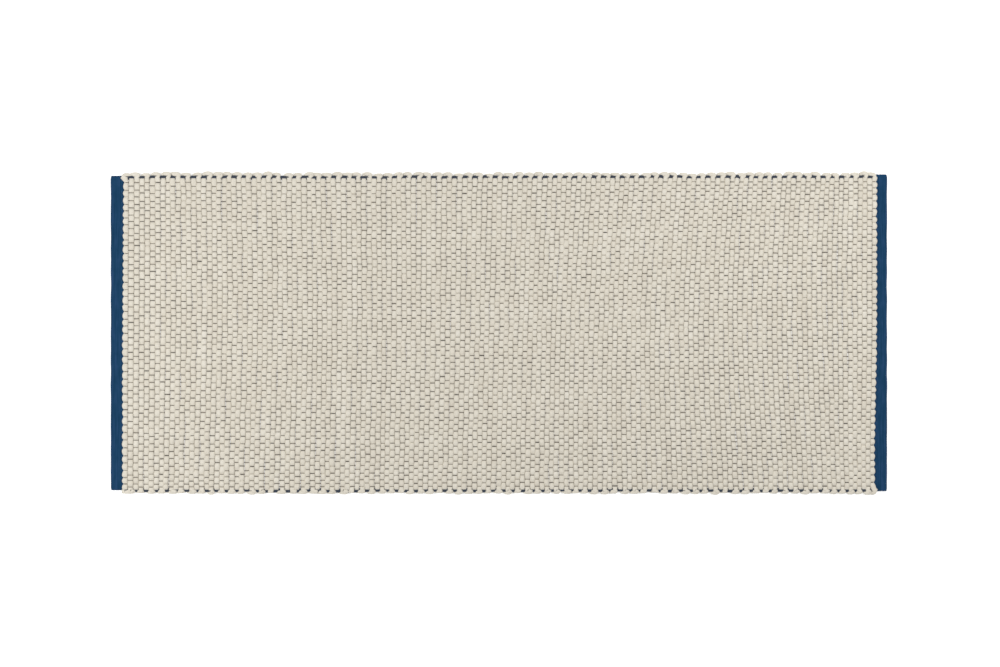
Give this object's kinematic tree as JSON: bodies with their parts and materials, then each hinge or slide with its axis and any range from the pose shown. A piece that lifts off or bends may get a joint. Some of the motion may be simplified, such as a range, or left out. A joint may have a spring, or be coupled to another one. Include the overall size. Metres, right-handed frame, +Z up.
{
  "type": "runner rug",
  "caption": "Flat-woven cream wool runner rug with looped selvedges and folded navy tape over both short ends; it rolls up.",
  "frame": {"origin": "middle of the underside, on the floor", "axes": "+X along the rug from the end that stays on the floor to the end at the core of the roll, +Y across it, +Z up"},
  "size_m": [2, 0.824, 0.012],
  "materials": {
    "cream_wool": "matt felted wool yarn, slightly fuzzy",
    "navy_tape": "matt cotton twill",
    "dark_warp": "twisted cotton yarn",
    "seam_thread": "spun polyester thread"
  },
  "bodies": {
    "floor_end": {"end_tape_left": "navy_tape", "warp_heading_left": "dark_warp", "seam_thread_left": "seam_thread", "weft_band_01": "cream_wool"},
    "band_02": {"weft_band_02": "cream_wool"},
    "band_03": {"weft_band_03": "cream_wool"},
    "band_04": {"weft_band_04": "cream_wool"},
    "band_05": {"weft_band_05": "cream_wool"},
    "band_06": {"weft_band_06": "cream_wool"},
    "band_07": {"weft_band_07": "cream_wool"},
    "band_08": {"weft_band_08": "cream_wool"},
    "band_09": {"weft_band_09": "cream_wool"},
    "band_10": {"weft_band_10": "cream_wool"},
    "band_11": {"weft_band_11": "cream_wool"},
    "band_12": {"weft_band_12": "cream_wool"},
    "band_13": {"weft_band_13": "cream_wool"},
    "band_14": {"weft_band_14": "cream_wool"},
    "band_15": {"weft_band_15": "cream_wool"},
    "band_16": {"weft_band_16": "cream_wool"},
    "band_17": {"weft_band_17": "cream_wool"},
    "band_18": {"weft_band_18": "cream_wool"},
    "band_19": {"weft_band_19": "cream_wool"},
    "band_20": {"weft_band_20": "cream_wool"},
    "band_21": {"weft_band_21": "cream_wool"},
    "band_22": {"weft_band_22": "cream_wool"},
    "band_23": {"weft_band_23": "cream_wool"},
    "band_24": {"weft_band_24": "cream_wool"},
    "band_25": {"weft_band_25": "cream_wool"},
    "band_26": {"weft_band_26": "cream_wool"},
    "band_27": {"weft_band_27": "cream_wool"},
    "band_28": {"weft_band_28": "cream_wool"},
    "band_29": {"weft_band_29": "cream_wool"},
    "band_30": {"weft_band_30": "cream_wool"},
    "band_31": {"weft_band_31": "cream_wool"},
    "band_32": {"weft_band_32": "cream_wool"},
    "band_33": {"weft_band_33": "cream_wool"},
    "band_34": {"weft_band_34": "cream_wool"},
    "band_35": {"weft_band_35": "cream_wool"},
    "band_36": {"weft_band_36": "cream_wool"},
    "band_37": {"weft_band_37": "cream_wool"},
    "band_38": {"weft_band_38": "cream_wool"},
    "core_end": {"weft_band_39": "cream_wool", "end_tape_right": "navy_tape", "warp_heading_right": "dark_warp", "seam_thread_right": "seam_thread"}
  },
  "joints": [
    {"name": "roll_up", "type": "hinge", "parent": "floor_end", "child": "band_02", "pos_m": [-0.9207, 0, 0.012], "axis": [0, -1, 0], "range_deg": [0, 22.7]},
    {"name": "bend_02", "type": "hinge", "parent": "band_02", "child": "band_03", "pos_m": [-0.86991, 0, 0.012], "axis": [0, -1, 0], "range_deg": [0, 22.98]},
    {"name": "bend_03", "type": "hinge", "parent": "band_03", "child": "band_04", "pos_m": [-0.81911, 0, 0.012], "axis": [0, -1, 0], "range_deg": [0, 23.2]},
    {"name": "bend_04", "type": "hinge", "parent": "band_04", "child": "band_05", "pos_m": [-0.76831, 0, 0.012], "axis": [0, -1, 0], "range_deg": [0, 23.45]},
    {"name": "bend_05", "type": "hinge", "parent": "band_05", "child": "band_06", "pos_m": [-0.71751, 0, 0.012], "axis": [0, -1, 0], "range_deg": [0, 23.7]},
    {"name": "bend_06", "type": "hinge", "parent": "band_06", "child": "band_07", "pos_m": [-0.66672, 0, 0.012], "axis": [0, -1, 0], "range_deg": [0, 23.95]},
    {"name": "bend_07", "type": "hinge", "parent": "band_07", "child": "band_08", "pos_m": [-0.61592, 0, 0.012], "axis": [0, -1, 0], "range_deg": [0, 24.23]},
    {"name": "bend_08", "type": "hinge", "parent": "band_08", "child": "band_09", "pos_m": [-0.56512, 0, 0.012], "axis": [0, -1, 0], "range_deg": [0, 24.5]},
    {"name": "bend_09", "type": "hinge", "parent": "band_09", "child": "band_10", "pos_m": [-0.51432, 0, 0.012], "axis": [0, -1, 0], "range_deg": [0, 24.79]},
    {"name": "bend_10", "type": "hinge", "parent": "band_10", "child": "band_11", "pos_m": [-0.46353, 0, 0.012], "axis": [0, -1, 0], "range_deg": [0, 25.09]},
    {"name": "bend_11", "type": "hinge", "parent": "band_11", "child": "band_12", "pos_m": [-0.41273, 0, 0.012], "axis": [0, -1, 0], "range_deg": [0, 25.41]},
    {"name": "bend_12", "type": "hinge", "parent": "band_12", "child": "band_13", "pos_m": [-0.36193, 0, 0.012], "axis": [0, -1, 0], "range_deg": [0, 25.72]},
    {"name": "bend_13", "type": "hinge", "parent": "band_13", "child": "band_14", "pos_m": [-0.31113, 0, 0.012], "axis": [0, -1, 0], "range_deg": [0, 26.04]},
    {"name": "bend_14", "type": "hinge", "parent": "band_14", "child": "band_15", "pos_m": [-0.26034, 0, 0.012], "axis": [0, -1, 0], "range_deg": [0, 26.38]},
    {"name": "bend_15", "type": "hinge", "parent": "band_15", "child": "band_16", "pos_m": [-0.20954, 0, 0.012], "axis": [0, -1, 0], "range_deg": [0, 26.75]},
    {"name": "bend_16", "type": "hinge", "parent": "band_16", "child": "band_17", "pos_m": [-0.15874, 0, 0.012], "axis": [0, -1, 0], "range_deg": [0, 27.13]},
    {"name": "bend_17", "type": "hinge", "parent": "band_17", "child": "band_18", "pos_m": [-0.10794, 0, 0.012], "axis": [0, -1, 0], "range_deg": [0, 27.52]},
    {"name": "bend_18", "type": "hinge", "parent": "band_18", "child": "band_19", "pos_m": [-0.05715, 0, 0.012], "axis": [0, -1, 0], "range_deg": [0, 27.93]},
    {"name": "bend_19", "type": "hinge", "parent": "band_19", "child": "band_20", "pos_m": [-0.00635, 0, 0.012], "axis": [0, -1, 0], "range_deg": [0, 28.36]},
    {"name": "bend_20", "type": "hinge", "parent": "band_20", "child": "band_21", "pos_m": [0.04445, 0, 0.012], "axis": [0, -1, 0], "range_deg": [0, 28.79]},
    {"name": "bend_21", "type": "hinge", "parent": "band_21", "child": "band_22", "pos_m": [0.09524, 0, 0.012], "axis": [0, -1, 0], "range_deg": [0, 29.26]},
    {"name": "bend_22", "type": "hinge", "parent": "band_22", "child": "band_23", "pos_m": [0.14604, 0, 0.012], "axis": [0, -1, 0], "range_deg": [0, 29.76]},
    {"name": "bend_23", "type": "hinge", "parent": "band_23", "child": "band_24", "pos_m": [0.19684, 0, 0.012], "axis": [0, -1, 0], "range_deg": [0, 30.26]},
    {"name": "bend_24", "type": "hinge", "parent": "band_24", "child": "band_25", "pos_m": [0.24764, 0, 0.012], "axis": [0, -1, 0], "range_deg": [0, 30.81]},
    {"name": "bend_25", "type": "hinge", "parent": "band_25", "child": "band_26", "pos_m": [0.29844, 0, 0.012], "axis": [0, -1, 0], "range_deg": [0, 31.4]},
    {"name": "bend_26", "type": "hinge", "parent": "band_26", "child": "band_27", "pos_m": [0.34923, 0, 0.012], "axis": [0, -1, 0], "range_deg": [0, 32.01]},
    {"name": "bend_27", "type": "hinge", "parent": "band_27", "child": "band_28", "pos_m": [0.40003, 0, 0.012], "axis": [0, -1, 0], "range_deg": [0, 32.65]},
    {"name": "bend_28", "type": "hinge", "parent": "band_28", "child": "band_29", "pos_m": [0.45083, 0, 0.012], "axis": [0, -1, 0], "range_deg": [0, 33.35]},
    {"name": "bend_29", "type": "hinge", "parent": "band_29", "child": "band_30", "pos_m": [0.50162, 0, 0.012], "axis": [0, -1, 0], "range_deg": [0, 34.08]},
    {"name": "bend_30", "type": "hinge", "parent": "band_30", "child": "band_31", "pos_m": [0.55242, 0, 0.012], "axis": [0, -1, 0], "range_deg": [0, 34.87]},
    {"name": "bend_31", "type": "hinge", "parent": "band_31", "child": "band_32", "pos_m": [0.60322, 0, 0.012], "axis": [0, -1, 0], "range_deg": [0, 35.71]},
    {"name": "bend_32", "type": "hinge", "parent": "band_32", "child": "band_33", "pos_m": [0.65402, 0, 0.012], "axis": [0, -1, 0], "range_deg": [0, 36.62]},
    {"name": "bend_33", "type": "hinge", "parent": "band_33", "child": "band_34", "pos_m": [0.70481, 0, 0.012], "axis": [0, -1, 0], "range_deg": [0, 37.62]},
    {"name": "bend_34", "type": "hinge", "parent": "band_34", "child": "band_35", "pos_m": [0.75561, 0, 0.012], "axis": [0, -1, 0], "range_deg": [0, 38.69]},
    {"name": "bend_35", "type": "hinge", "parent": "band_35", "child": "band_36", "pos_m": [0.80641, 0, 0.012], "axis": [0, -1, 0], "range_deg": [0, 39.87]},
    {"name": "bend_36", "type": "hinge", "parent": "band_36", "child": "band_37", "pos_m": [0.85721, 0, 0.012], "axis": [0, -1, 0], "range_deg": [0, 41.14]},
    {"name": "bend_37", "type": "hinge", "parent": "band_37", "child": "band_38", "pos_m": [0.908, 0, 0.012], "axis": [0, -1, 0], "range_deg": [0, 42.57]},
    {"name": "bend_38", "type": "hinge", "parent": "band_38", "child": "core_end", "pos_m": [0.9588, 0, 0.012], "axis": [0, -1, 0], "range_deg": [0, 44.13]}
  ],
  "couplings": [
    {"joint": "bend_02", "follows": "roll_up", "ratio": 1.01},
    {"joint": "bend_03", "follows": "roll_up", "ratio": 1.02},
    {"joint": "bend_04", "follows": "roll_up", "ratio": 1.031},
    {"joint": "bend_05", "follows": "roll_up", "ratio": 1.042},
    {"joint": "bend_06", "follows": "roll_up", "ratio": 1.053},
    {"joint": "bend_07", "follows": "roll_up", "ratio": 1.065},
    {"joint": "bend_08", "follows": "roll_up", "ratio": 1.077},
    {"joint": "bend_09", "follows": "roll_up", "ratio": 1.09},
    {"joint": "bend_10", "follows": "roll_up", "ratio": 1.103},
    {"joint": "bend_11", "follows": "roll_up", "ratio": 1.117},
    {"joint": "bend_12", "follows": "roll_up", "ratio": 1.131},
    {"joint": "bend_13", "follows": "roll_up", "ratio": 1.145},
    {"joint": "bend_14", "follows": "roll_up", "ratio": 1.16},
    {"joint": "bend_15", "follows": "roll_up", "ratio": 1.176},
    {"joint": "bend_16", "follows": "roll_up", "ratio": 1.193},
    {"joint": "bend_17", "follows": "roll_up", "ratio": 1.21},
    {"joint": "bend_18", "follows": "roll_up", "ratio": 1.228},
    {"joint": "bend_19", "follows": "roll_up", "ratio": 1.247},
    {"joint": "bend_20", "follows": "roll_up", "ratio": 1.266},
    {"joint": "bend_21", "follows": "roll_up", "ratio": 1.287},
    {"joint": "bend_22", "follows": "roll_up", "ratio": 1.309},
    {"joint": "bend_23", "follows": "roll_up", "ratio": 1.331},
    {"joint": "bend_24", "follows": "roll_up", "ratio": 1.355},
    {"joint": "bend_25", "follows": "roll_up", "ratio": 1.381},
    {"joint": "bend_26", "follows": "roll_up", "ratio": 1.408},
    {"joint": "bend_27", "follows": "roll_up", "ratio": 1.436},
    {"joint": "bend_28", "follows": "roll_up", "ratio": 1.467},
    {"joint": "bend_29", "follows": "roll_up", "ratio": 1.499},
    {"joint": "bend_30", "follows": "roll_up", "ratio": 1.534},
    {"joint": "bend_31", "follows": "roll_up", "ratio": 1.571},
    {"joint": "bend_32", "follows": "roll_up", "ratio": 1.611},
    {"joint": "bend_33", "follows": "roll_up", "ratio": 1.655},
    {"joint": "bend_34", "follows": "roll_up", "ratio": 1.702},
    {"joint": "bend_35", "follows": "roll_up", "ratio": 1.754},
    {"joint": "bend_36", "follows": "roll_up", "ratio": 1.81},
    {"joint": "bend_37", "follows": "roll_up", "ratio": 1.873},
    {"joint": "bend_38", "follows": "roll_up", "ratio": 1.942}
  ]
}
